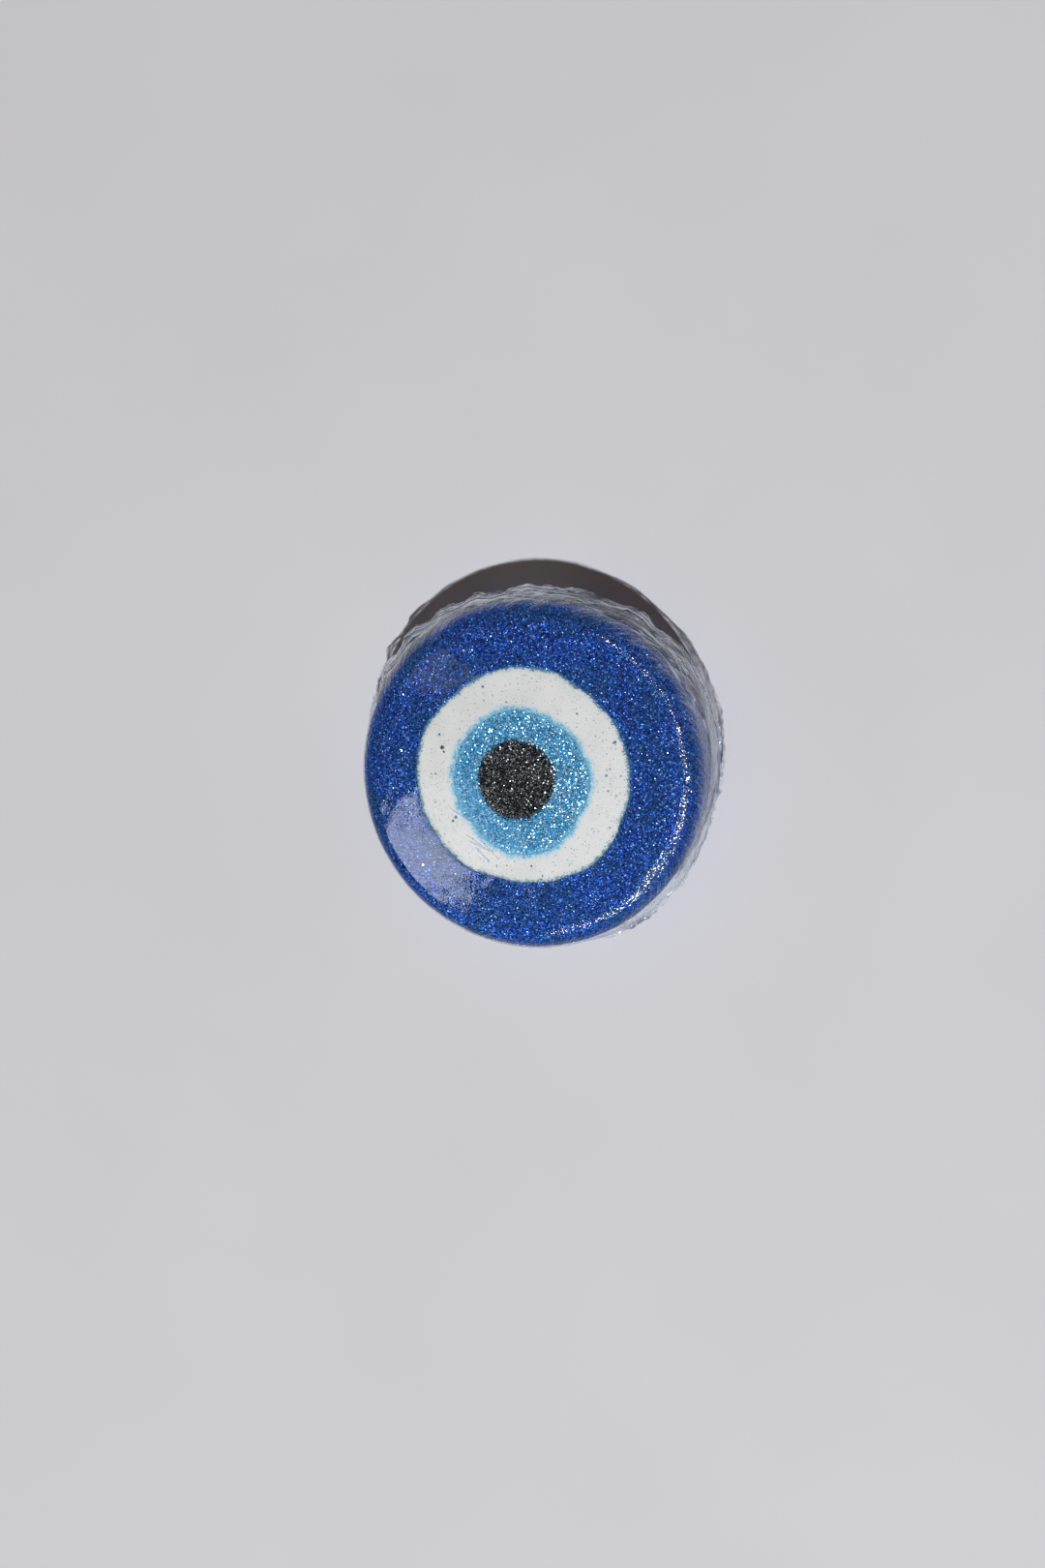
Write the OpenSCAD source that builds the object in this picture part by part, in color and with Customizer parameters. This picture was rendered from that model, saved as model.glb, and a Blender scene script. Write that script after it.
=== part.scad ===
// Evil eye ornament: a round, hand-poured puck with a glittered eye on its face,
// sealed in two sheets of clear shrink film. It lies on its back, face up.
// The origin is the middle of its underside. +Z is up, out of the face.

/* [Puck] */
// Diameter of the poured puck at its widest
puck_d = 70; // [64:1:80]
// Height of the puck from its back to the middle of its face
puck_h = 23.5; // [19:0.5:30]
// How far the middle of the face stands above its edge
crown = 1.4; // [0.6:0.1:2.4]
// Radius of the rounded shoulder round the face
shoulder_r = 3.5; // [2.5:0.1:5]
// Radius of the rounded edge round the back
back_edge_r = 4; // [2:0.1:5]
// How much narrower than the face the back is, on each side
draft = 1.2; // [0.4:0.1:3]

/* [Eye] */
// Mean diameter of the white layer
white_d = 43.6; // [38:0.2:46]
// Mean diameter of the light blue iris
iris_d = 27.4; // [25:0.2:29]
// Mean diameter of the black pupil
pupil_d = 15.8; // [8:0.2:16.6]
// Depth of the pupil's pour, under the middle of the face
pupil_depth = 3; // [2:0.1:3.5]
// Depth of the iris's pour
iris_depth = 4.5; // [4:0.1:5.4]
// Depth of the white layer's pour
white_depth = 6; // [5.9:0.1:9]
// How far the outlines of the pours wander from a circle, 1 being as on this one
wander = 1; // [0:0.1:1.5]

/* [Film] */
// Thickness of the film
film_t = 0.1; // [0.08:0.01:0.2]
// Air between the face and the film, where the loose flakes lie
face_gap = 0.25; // [0.2:0.01:0.4]
// Air between the back and the film
back_gap = 0.05; // [0.03:0.01:0.1]
// How far the middle of the welded seam stands out from the puck's widest
seam_reach = 2; // [1.5:0.1:3]
// Height of the seam above the table
seam_z = 7.5; // [6:0.1:9]
// Diameter of the bead of melted film along the seam
bead_d = 0.8; // [0.6:0.05:1.2]

/* [Glitter] */
// Width of a coarse flake across its flats
flake_w = 0.6; // [0.4:0.05:0.9]
// Thickness of a flake
flake_t = 0.1; // [0.06:0.01:0.12]
// Number of coarse flakes on the dark blue
blue_flakes = 220; // [20:10:240]
// Number of coarse flakes on the iris
iris_flakes = 90; // [10:5:110]
// Number of coarse flakes on the pupil
pupil_flakes = 50; // [5:5:60]
// Number of stray flakes on the white
stray_flakes = 36; // [4:2:44]

/* [Hidden] */
$fn = 96;

navy = [0.03, 0.10, 0.45];
milk_white = [0.90, 0.91, 0.88];
sky_blue = [0.22, 0.58, 0.84];
charcoal = [0.09, 0.09, 0.10];
silver = [0.80, 0.84, 0.90];
clear = [0.88, 0.92, 0.96, 0.25];

// Heights
puck_z = film_t + back_gap;
top_z = puck_z + puck_h;

// The puck's outline is two arcs in the wall, joined by their common tangent,
// under a shallow spherical face that runs on smoothly into the shoulder's arc.
face_r = puck_d / 2 - shoulder_r;
dome_r = (face_r * face_r + crown * crown) / (2 * crown);
dome_z = top_z - dome_r;
shoulder = [face_r, dome_z + sqrt(pow(dome_r - shoulder_r, 2) - face_r * face_r)];
back_edge = [puck_d / 2 - draft - back_edge_r, puck_z + back_edge_r];
face_edge = shoulder + shoulder_r * (shoulder - [0, dome_z]) / norm(shoulder - [0, dome_z]);

// Where the pours of the eye are centred: a little off the middle, as poured by hand
white_at = [-0.9, -0.4];
iris_at = [-1.4, -1.0];
pupil_at = [-2.2, -0.6];

// Wander of each outline: [waves round the circle, height of the wave, angle of its crest]
white_waves = [[2, 0.20, 150], [3, 0.22, 200], [5, 0.20, 20], [9, 0.12, 75], [17, 0.07, 10]];
iris_waves = [[2, 0.36, 105], [3, 0.22, 270], [4, 0.24, 8], [7, 0.12, 98], [13, 0.08, 40]];
pupil_waves = [[2, 0.08, 70], [3, 0.06, 20], [5, 0.07, 30], [8, 0.06, 110], [15, 0.05, 0]];
OUTLINE_POINTS = 90;
ARC_STEPS = 20;

// Middle of the bead's section, where the films meet
seam = [puck_d / 2 + seam_reach, seam_z];
GOLDEN_ANGLE = 137.508;
BIG = 200;
LAP = 0.004;

function dir(angle) = [cos(angle), sin(angle)];
function angle_of(v) = atan2(v.y, v.x);

// The angle, seen from either centre, at which the puck's wall runs into its arcs
function wall_angle() =
    let (d = shoulder - back_edge)
    angle_of(d) - acos((shoulder_r - back_edge_r) / norm(d));

// The angle, seen from a circle's centre, at which a line from p touches the circle
function touch_angle(p, centre, r, side) =
    let (d = p - centre)
    angle_of(d) + side * acos(r / norm(d));

function arc(centre, r, from, to, steps) =
    [for (i = [0 : steps]) centre + r * dir(from + (to - from) * i / steps)];

function wave_sum(waves, a, i = 0) =
    i == len(waves) ? 0
    : waves[i][1] * cos(waves[i][0] * (a - waves[i][2])) + wave_sum(waves, a, i + 1);

function outline(d, at, waves) =
    [for (i = [0 : OUTLINE_POINTS - 1])
        let (a = 360 * i / OUTLINE_POINTS)
        at + (d / 2 + wander * wave_sum(waves, a)) * dir(a)];

// Height of the puck's face at a distance from its axis
function face_z(r) = dome_z + sqrt(dome_r * dome_r - r * r);

// The puck's half section; a straight edge ends just inside each arc it joins,
// so that the two cross cleanly
module puck_section() {
    n = dir(wall_angle());
    translate(shoulder) circle(r = shoulder_r);
    translate(back_edge) circle(r = back_edge_r);
    polygon([[0, puck_z], [back_edge.x, puck_z], back_edge + (back_edge_r - LAP) * n,
             shoulder + (shoulder_r - LAP) * n, shoulder, [0, shoulder.y]]);
    intersection() {
        translate([0, dome_z]) circle(r = dome_r, $fn = 720);
        translate([0, back_edge.y]) square([face_edge.x, BIG]);
    }
}

module puck() {
    rotate_extrude() puck_section();
}

// One pour: an outline cut down into the puck from its face
module column(points, depth) {
    translate([0, 0, top_z - depth]) linear_extrude(height = depth + crown) polygon(points);
}

module pour(points, depth) {
    intersection() {
        puck();
        column(points, depth);
    }
}

white_outline = outline(white_d, white_at, white_waves);
iris_outline = outline(iris_d, iris_at, iris_waves);
pupil_outline = outline(pupil_d, pupil_at, pupil_waves);

module blue_body() {
    color(navy) difference() {
        puck();
        column(white_outline, white_depth);
    }
}

module white_layer() {
    color(milk_white) difference() {
        pour(white_outline, white_depth);
        column(iris_outline, iris_depth);
    }
}

module iris_layer() {
    color(sky_blue) difference() {
        pour(iris_outline, iris_depth);
        column(pupil_outline, pupil_depth);
    }
}

module pupil_layer() {
    color(charcoal) pour(pupil_outline, pupil_depth);
}

// A hexagonal flake lying on the face, turned by spin
module flake(at, w, spin) {
    highest = face_z(max(0, norm(at) - w / 2));
    translate([at.x, at.y, highest]) rotate([0, 0, spin])
        linear_extrude(height = flake_t) circle(d = w / cos(30), $fn = 6);
}

// Flakes spread evenly over a ring, each of its own size and turn
module flake_field(count, centre, r_in, r_out, seed) {
    sizes = rands(0.6, 1, count, seed);
    spins = rands(0, 60, count, seed + 1);
    for (i = [0 : count - 1]) {
        r = sqrt(r_in * r_in + (r_out * r_out - r_in * r_in) * (i + 0.5) / count);
        flake(centre + r * dir(i * GOLDEN_ANGLE), flake_w * sizes[i], spins[i]);
    }
}

module blue_glitter() {
    color("royalblue")
        flake_field(blue_flakes, [0, 0], white_d / 2 + 1.8 + norm(white_at) / 2, face_r - 0.6, 11);
}

module iris_glitter() {
    color(silver)
        flake_field(iris_flakes, iris_at, pupil_d / 2 + norm(pupil_at - iris_at) + 0.7,
                    iris_d / 2 - 1.1, 23);
}

module pupil_glitter() {
    color(silver) flake_field(pupil_flakes, pupil_at, 0, pupil_d / 2 - 0.9, 37);
}

module stray_glitter() {
    color("slategray")
        flake_field(stray_flakes, white_at, iris_d / 2 + norm(iris_at - white_at) + 1.2,
                    white_d / 2 - 1.2, 53);
}

// The half section inside the wrap's surface: the puck's arcs grown by the gaps,
// and the film's straight stretches out to the seam and back in under the puck
module wrap_section(grow_face, grow_back, corner) {
    s_r = shoulder_r + grow_face;
    b_r = back_edge_r + grow_back;
    crown_angle = angle_of(shoulder - [0, dome_z]);
    under = arc(back_edge, b_r, -90, touch_angle(corner, back_edge, b_r, -1), ARC_STEPS);
    over = arc(shoulder, s_r, touch_angle(corner, shoulder, s_r, 1), crown_angle, ARC_STEPS);
    face = arc([0, dome_z], dome_r + grow_face, crown_angle, 90, ARC_STEPS);
    axis = [[0, back_edge.y - b_r]];
    polygon(concat(axis, under, [corner], over, face));
}

module bead() {
    rotate_extrude() translate(seam) circle(d = bead_d);
}

// The film's shell over the heights from low to high, up to the bead
module film(low, high) {
    difference() {
        rotate_extrude() intersection() {
            wrap_section(face_gap + film_t, back_gap + film_t, seam);
            translate([0, low]) square([BIG, high - low]);
        }
        rotate_extrude() wrap_section(face_gap, back_gap, seam - [2 * film_t, 0]);
        bead();
    }
}

module front_film() {
    color(clear) film(seam_z, BIG);
}

module back_film() {
    color(clear) film(-1, seam_z);
}

module film_seam() {
    color(clear) bead();
}

blue_body();
white_layer();
iris_layer();
pupil_layer();
blue_glitter();
iris_glitter();
pupil_glitter();
stray_glitter();
front_film();
back_film();
film_seam();
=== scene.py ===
"""The evil eye ornament: a poured glitter puck with an eye on its face, sealed in clear shrink film.

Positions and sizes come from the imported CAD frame, in metres. The puck's poured layers, the
loose glitter and the wrinkled film are rebuilt here as fine meshes around that frame.
"""
import math

import bpy
import numpy as np
from mathutils import Matrix, Vector


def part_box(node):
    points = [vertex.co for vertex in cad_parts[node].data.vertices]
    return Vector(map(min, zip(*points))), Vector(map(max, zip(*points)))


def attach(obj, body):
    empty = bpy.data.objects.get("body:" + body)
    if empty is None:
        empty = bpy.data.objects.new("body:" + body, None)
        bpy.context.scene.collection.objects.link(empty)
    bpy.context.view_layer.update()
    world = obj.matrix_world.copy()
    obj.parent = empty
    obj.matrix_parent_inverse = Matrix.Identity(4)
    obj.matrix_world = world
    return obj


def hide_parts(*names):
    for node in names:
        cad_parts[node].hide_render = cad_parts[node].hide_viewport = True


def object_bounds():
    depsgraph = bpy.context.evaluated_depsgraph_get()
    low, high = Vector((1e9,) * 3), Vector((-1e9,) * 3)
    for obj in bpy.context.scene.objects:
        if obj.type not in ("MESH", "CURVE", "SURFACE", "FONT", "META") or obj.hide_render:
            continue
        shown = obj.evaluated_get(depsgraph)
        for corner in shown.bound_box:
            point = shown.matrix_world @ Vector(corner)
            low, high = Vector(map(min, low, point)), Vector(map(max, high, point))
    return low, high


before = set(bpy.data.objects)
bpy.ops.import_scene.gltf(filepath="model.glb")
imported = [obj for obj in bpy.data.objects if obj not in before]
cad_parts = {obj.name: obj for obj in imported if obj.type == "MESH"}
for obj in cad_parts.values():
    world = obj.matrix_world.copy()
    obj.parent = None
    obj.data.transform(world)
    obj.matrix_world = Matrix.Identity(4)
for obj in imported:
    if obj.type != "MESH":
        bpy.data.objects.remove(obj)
CAD_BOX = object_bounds()

MM = 0.001
TAU = 2 * math.pi

# ---------------- sizes, from the frame
PUCK_LOW, PUCK_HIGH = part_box("blue_body")
SEAM_LOW, SEAM_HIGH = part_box("film_seam")
PUCK_R = PUCK_HIGH.x
BACK_Z = PUCK_LOW.z
# The CAD's front film with the air under it
CAD_FILM = 0.35 * MM
TOP_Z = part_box("front_film")[1].z - CAD_FILM
SEAM_R = SEAM_HIGH.x - (SEAM_HIGH.z - SEAM_LOW.z) / 2
SEAM_Z = (SEAM_HIGH.z + SEAM_LOW.z) / 2


def flat_radius(node):
    """Radius of a CAD node's flat underside."""
    points = np.array([v.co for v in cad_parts[node].data.vertices])
    lowest = points[points[:, 2] < points[:, 2].min() + 0.01 * MM]
    return float(np.hypot(lowest[:, 0], lowest[:, 1]).max())


# The puck's outline, as in the CAD
CROWN = 1.4 * MM
SHOULDER_R = 3.5 * MM
BACK_EDGE_R = 4 * MM
FACE_R = PUCK_R - SHOULDER_R
DOME_R = (FACE_R ** 2 + CROWN ** 2) / (2 * CROWN)
DOME_Z = TOP_Z - DOME_R
SHOULDER = np.array([FACE_R, DOME_Z + math.sqrt((DOME_R - SHOULDER_R) ** 2 - FACE_R ** 2)])
BACK_EDGE = np.array([flat_radius("blue_body"), BACK_Z + BACK_EDGE_R])

# Air under the film, and the film's thickness
FACE_GAP = 0.22 * MM
BACK_GAP = BACK_Z - CAD_BOX[0][2]
FILM_T = 0.04 * MM


# ---------------- fields of noise
def smooth(t):
    return t * t * (3 - 2 * t)


def step(low, high, x):
    """0 below low, 1 above high, smooth between."""
    return smooth(np.clip((x - low) / (high - low), 0, 1))


def blended(table, u, v):
    """Smooth values between the entries of a table that repeats past its ends."""
    across, down = table.shape
    iu = np.floor(u).astype(int)
    iv = np.floor(v).astype(int)
    fu = smooth(u - iu)
    fv = smooth(v - iv)
    left = iu % across
    right = (iu + 1) % across
    low = table[left, iv % down] * (1 - fu) + table[right, iv % down] * fu
    high = table[left, (iv + 1) % down] * (1 - fu) + table[right, (iv + 1) % down] * fu
    return low * (1 - fv) + high * fv


def ring_noise(turn, along, around, seed):
    """Smooth noise from -1 to 1: `around` bumps in one turn, closing on itself, and one per unit along."""
    table = np.random.default_rng(seed).uniform(-1, 1, (around, 512))
    return blended(table, turn * around, along)


def edge_noise(angles, around, seed):
    """Ring noise along a single line round the puck."""
    return ring_noise(angles / TAU, 0.0, around, seed)


def plane_noise(x, y, seed):
    """Smooth noise from -1 to 1 with one bump per unit square."""
    table = np.random.default_rng(seed).uniform(-1, 1, (256, 256))
    return blended(table, x, y)


def crease(n):
    """Turns smooth noise into sharp-topped folds from 0 to 1."""
    return 1 - np.abs(n)


# ---------------- the puck's outline
def arc(centre, radius, start, end, steps):
    a = np.linspace(start, end, steps)
    return np.stack([centre[0] + radius * np.cos(a), centre[1] + radius * np.sin(a)], 1)


def touch_angle(point, centre, radius, side):
    d = point - centre
    return math.atan2(d[1], d[0]) + side * math.acos(radius / math.hypot(*d))


def face_z(r):
    """Height of the puck's face at a distance from the axis."""
    return DOME_Z + np.sqrt(DOME_R ** 2 - np.minimum(r, FACE_R) ** 2)


def crown_angle():
    return math.atan2(SHOULDER[1] - DOME_Z, SHOULDER[0])


def wall_angle():
    d = SHOULDER - BACK_EDGE
    return math.atan2(d[1], d[0]) - math.acos((SHOULDER_R - BACK_EDGE_R) / math.hypot(*d))


def path_length(points):
    """Distance along a path at each of its points."""
    return np.concatenate([[0], np.cumsum(np.hypot(*np.diff(points, axis=0).T))])


def points_along(path, at):
    """Points of a path at distances along it."""
    length = path_length(path)
    return np.stack([np.interp(at, length, path[:, i]) for i in range(2)], 1)


def side_path(shoulder_steps, end, count):
    """Even points from the shoulder down the wall into the back's edge, with their outward normals."""
    wall = wall_angle()
    path = np.concatenate([
        arc(SHOULDER, SHOULDER_R, crown_angle(), wall, shoulder_steps)[1:],
        arc(BACK_EDGE, BACK_EDGE_R, wall, end, 24),
    ])
    side = points_along(path, np.linspace(0, path_length(path)[-1], count))
    slope = np.gradient(side, axis=0)
    out = np.column_stack([slope[:, 1], -slope[:, 0]])
    return side, out / np.hypot(*out.T)[:, None]


def turned(r, z, angles):
    """Points at a radius and a height, at angles round the axis."""
    return np.column_stack([r * np.cos(angles), r * np.sin(angles), z + np.zeros_like(angles)])


# ---------------- outlines of the pours
# [waves round the circle, height in mm, angle of the crest in degrees], as in the CAD
WAVES = {
    "white": [(2, 0.2, 150), (3, 0.22, 200), (5, 0.2, 20), (9, 0.12, 75), (17, 0.07, 10)],
    "iris": [(2, 0.36, 105), (3, 0.22, 270), (4, 0.24, 8), (7, 0.12, 98), (13, 0.08, 40)],
    "pupil": [(2, 0.08, 70), (3, 0.06, 20), (5, 0.07, 30), (8, 0.06, 110), (15, 0.05, 0)],
}
# A finer wander, where one pour seeped into the next: [bumps round the circle, height in mm]
SEEPED = [(60, 0.1), (150, 0.05)]


def pour_size(node):
    """A pour's middle (x, y) and mean radius, in mm."""
    low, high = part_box(node)
    middle = (low + high) / 2
    size = high - low
    return middle.x / MM, middle.y / MM, (size.x + size.y) / 4 / MM


POUR_SIZE = {pour: pour_size(pour + "_layer") for pour in WAVES}
POUR_DEPTH = {pour: TOP_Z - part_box(pour + "_layer")[0].z for pour in WAVES}


def outline(pour, angles):
    """Points (x, y) of a pour's edge."""
    cx, cy, radius = POUR_SIZE[pour]
    r = np.full_like(angles, radius)
    for waves, height, crest in WAVES[pour]:
        r += height * np.cos(waves * (angles - math.radians(crest)))
    for seed, (bumps, height) in enumerate(SEEPED, len(pour) * 7):
        r += height * edge_noise(angles, bumps, seed)
    return np.stack([cx + r * np.cos(angles), cy + r * np.sin(angles)], 1) * MM


# ---------------- mesh building
def new_object(name, verts, faces, smooth_shade=True):
    mesh = bpy.data.meshes.new(name)
    mesh.from_pydata(verts.tolist(), [], faces)
    mesh.validate()
    if smooth_shade:
        mesh.shade_smooth()
    obj = bpy.data.objects.new(name, mesh)
    bpy.context.scene.collection.objects.link(obj)
    return obj


def grid_faces(rows, cols, flip=False, closed=False):
    """Quads of a grid whose rows close on themselves, and whose columns do too if closed."""
    i, j = np.meshgrid(np.arange(rows if closed else rows - 1), np.arange(cols), indexing="ij")
    a = i * cols + j
    b = i * cols + (j + 1) % cols
    c = (b + cols) % (rows * cols)
    d = (a + cols) % (rows * cols)
    quads = np.stack([a, d, c, b] if flip else [a, b, c, d], -1)
    return quads.reshape(-1, 4).tolist()


def fan_faces(pole, row_start, cols, flip=False):
    """Triangles from a pole to a ring."""
    j = np.arange(cols)
    a = row_start + j
    b = row_start + (j + 1) % cols
    p = np.full(cols, pole)
    return np.stack([p, b, a] if flip else [p, a, b], -1).tolist()


def closed_turn(name, rows):
    """A closed mesh from rings of points, from the middle of its top to the middle of its bottom."""
    cols = rows[0].shape[0]
    rings = np.concatenate(rows)
    top = rows[0].mean(0)
    bottom = rows[-1].mean(0)
    verts = np.concatenate([rings, [top, bottom]])
    last = (len(rows) - 1) * cols
    faces = grid_faces(len(rows), cols, flip=True)
    faces += fan_faces(len(rings), 0, cols)
    faces += fan_faces(len(rings) + 1, last, cols, flip=True)
    return new_object(name, verts, faces)


def point_values(obj, name, values):
    """Stores a number or a vector per vertex for the materials to read."""
    values = np.asarray(values, np.float32)
    kind, field = ("FLOAT", "value") if values.ndim == 1 else ("FLOAT_VECTOR", "vector")
    attribute = obj.data.attributes.new(name, kind, "POINT")
    attribute.data.foreach_set(field, values.ravel())


def dress(obj, material, nodes):
    """Gives a piece its material, in a new slot, and its body, and hides the CAD nodes it stands for."""
    obj.data.materials.append(material)
    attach(obj, "root")
    if nodes:
        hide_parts(*nodes)


# ---------------- material helpers
class Nodes:
    """Short names for building a node tree."""

    def __init__(self, name):
        self.material = bpy.data.materials.new(name)
        self.material.use_nodes = True
        self.tree = self.material.node_tree
        self.tree.nodes.clear()
        self.out = self.add("ShaderNodeOutputMaterial")

    def add(self, kind, **settings):
        node = self.tree.nodes.new(kind)
        for key, value in settings.items():
            setattr(node, key, value)
        return node

    def link(self, source, target):
        self.tree.links.new(source, target)

    def put(self, socket, value):
        """Links a socket to another, or sets its number, vector or colour (red, green, blue)."""
        if hasattr(value, "is_linked"):
            self.link(value, socket)
        else:
            socket.default_value = (*value, 1.0) if socket.type == "RGBA" else value

    def wired(self, kind, *values, **settings):
        """A node with its first sockets put to some values."""
        node = self.add(kind, **settings)
        for socket, value in zip(node.inputs, values):
            self.put(socket, value)
        return node

    def fed(self, kind, **values):
        """A node with some sockets put to values, by name."""
        node = self.add(kind)
        for name, value in values.items():
            self.put(node.inputs[name.replace("_", " ")], value)
        return node

    def math(self, kind, a, b=0.0, clamp=False):
        return self.wired("ShaderNodeMath", a, b, operation=kind, use_clamp=clamp).outputs[0]

    def times(self, a, b, clamp=False):
        return self.math("MULTIPLY", a, b, clamp)

    def plus(self, a, b):
        return self.math("ADD", a, b)

    def minus(self, a, b):
        return self.math("SUBTRACT", a, b)

    def vector(self, kind, a, b=(0, 0, 0)):
        node = self.wired("ShaderNodeVectorMath", a, b, operation=kind)
        return node.outputs["Value" if kind in ("DOT_PRODUCT", "DISTANCE") else "Vector"]

    def attribute(self, name, output="Fac"):
        return self.add("ShaderNodeAttribute", attribute_name=name).outputs[output]

    def place(self):
        """Object coordinates in millimetres."""
        metres = self.add("ShaderNodeTexCoord").outputs["Object"]
        return self.vector("MULTIPLY", metres, (1 / MM, 1 / MM, 1 / MM))

    def noise(self, vector, size, detail, rough):
        """Noise from 0 to 1 with bumps of a size, in the vector's own unit."""
        node = self.fed("ShaderNodeTexNoise", Vector=vector, Scale=1 / size, Detail=detail, Roughness=rough)
        return node.outputs["Fac"]

    def stretched(self, vector, scale, detail, rough):
        """Noise drawn out by a different scale along each axis."""
        return self.noise(self.vector("MULTIPLY", vector, scale), 1.0, detail, rough)

    def cells(self, vector, size):
        """Voronoi cells of a size, in the vector's own unit."""
        return self.fed("ShaderNodeTexVoronoi", Vector=vector, Scale=1 / size)

    def ramp(self, fac, stops):
        node = self.add("ShaderNodeValToRGB")
        while len(node.color_ramp.elements) < len(stops):
            node.color_ramp.elements.new(0.5)
        for element, (at, color) in zip(node.color_ramp.elements, stops):
            element.position = at
            element.color = (*color, 1)
        self.put(node.inputs["Fac"], fac)
        return node.outputs["Color"]

    def between(self, value, low, high, to_low=0.0, to_high=1.0):
        """A smooth step from to_low, where value is low, to to_high, where it is high."""
        ends = (low, high, to_low, to_high)
        return self.wired("ShaderNodeMapRange", value, *ends, interpolation_type="SMOOTHSTEP").outputs[0]

    def mix(self, fac, a, b):
        node = self.add("ShaderNodeMix", data_type="RGBA")
        self.put(node.inputs["Factor"], fac)
        self.put(node.inputs[6], a)
        self.put(node.inputs[7], b)
        return node.outputs[2]

    def principled(self, **values):
        return self.fed("ShaderNodeBsdfPrincipled", **values).outputs[0]

    def mix_shaders(self, fac, a, b):
        return self.wired("ShaderNodeMixShader", fac, a, b).outputs[0]

    def bump(self, height, strength, distance):
        return self.fed("ShaderNodeBump", Strength=strength, Distance=distance, Height=height).outputs[0]

    def finish(self, shader):
        self.link(shader, self.out.inputs["Surface"])
        return self.material


# ---------------- materials
# The fine flakes packed in the wax: their width in mm, and how far they lean
GRAIN = 0.2
LEAN = (0.9, 0.9, 0.9)


def leaning_normal(n, cells):
    """The surface's normal, leaned a different way in each cell, as flakes lie."""
    away = n.vector("SUBTRACT", cells.outputs["Color"], (0.5, 0.5, 0.5))
    away = n.vector("MULTIPLY", away, LEAN)
    normal = n.vector("ADD", n.add("ShaderNodeNewGeometry").outputs["Normal"], away)
    return n.vector("NORMALIZE", normal)


def cell_parts(n, cells):
    """Three numbers from 0 to 1, each the same all over a cell."""
    return n.wired("ShaderNodeSeparateColor", cells.outputs["Color"]).outputs[:]


def level_line(n, value, level, width):
    """Thin lines, from 0 to 1, along one level of a noise."""
    away = n.math("ABSOLUTE", n.minus(value, level))
    return n.between(away, 0.3 * width, width, 1.0, 0.0)


def ragged(n, place, edge, wander):
    """Distance from an edge in mm, shifted here and there so that the border looks seeped."""
    shift = n.minus(n.noise(place, 1.6, 4.0, 0.65), 0.5)
    return n.plus(edge, n.times(shift, 4 * wander))


def grains(n, place, size, share):
    """1 in the given share of fine grains, 0 in the rest."""
    pick, _, _ = cell_parts(n, n.cells(place, size))
    return n.between(n.minus(share, pick), -0.03, 0.05)


def flake_grounds(n, place, grain, stops):
    """Colour, sparkle and leaning normal of wax packed with flakes about grain mm wide."""
    cells = n.cells(place, grain)
    pick, shine, _ = cell_parts(n, cells)
    return n.ramp(pick, stops), shine, leaning_normal(n, cells)


def glitter_shader(n, color, shine, normal, share):
    """Wax with a share of its cells as bright as foil."""
    foil = n.between(shine, 1 - share - 0.03, 1 - share + 0.03)
    return n.principled(
        Base_Color=color,
        Metallic=n.times(foil, 0.9),
        Roughness=n.between(foil, 0.0, 1.0, 0.62, 0.42),
        Normal=normal,
        Specular_IOR_Level=0.04,
    )


def blue_wax():
    n = Nodes("blue_glitter_wax")
    place = n.place()
    color, shine, normal = flake_grounds(n, place, GRAIN, [
        (0.0, (0.001, 0.01, 0.09)),
        (0.3, (0.003, 0.036, 0.23)),
        (0.62, (0.01, 0.095, 0.48)),
        (0.82, (0.03, 0.2, 0.76)),
        (0.9, (0.06, 0.11, 0.72)),
        (0.96, (0.06, 0.38, 0.9)),
        (1.0, (0.45, 0.7, 0.95)),
    ])
    slow = n.noise(place, 7, 3.0, 0.55)
    color = n.mix(n.between(slow, 0.42, 0.66, 0.0, 0.55), color, (0.016, 0.09, 0.18))
    fine = n.noise(place, 0.8, 3.0, 0.7)
    color = n.mix(n.between(fine, 0.3, 0.6, 0.65, 0.0), color, (0.002, 0.02, 0.13))
    away = ragged(n, place, n.attribute("edge"), 0.35)
    pale = grains(n, place, GRAIN, n.between(away, 0.0, 0.6, 0.6, 0.0))
    color = n.mix(n.times(pale, 0.6), color, (0.16, 0.36, 0.46))
    return n.finish(glitter_shader(n, color, shine, normal, 0.36))


# Specks in the white: [mm from one to the next, widest radius in cells, strength], and their colours
SPECKS = [(0.9, 0.24, 0.5), (2.1, 0.14, 0.8)]
SPECK_INKS = [
    (0.0, (0.16, 0.23, 0.28)),
    (0.5, (0.2, 0.3, 0.42)),
    (1.0, (0.12, 0.24, 0.26)),
]


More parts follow.
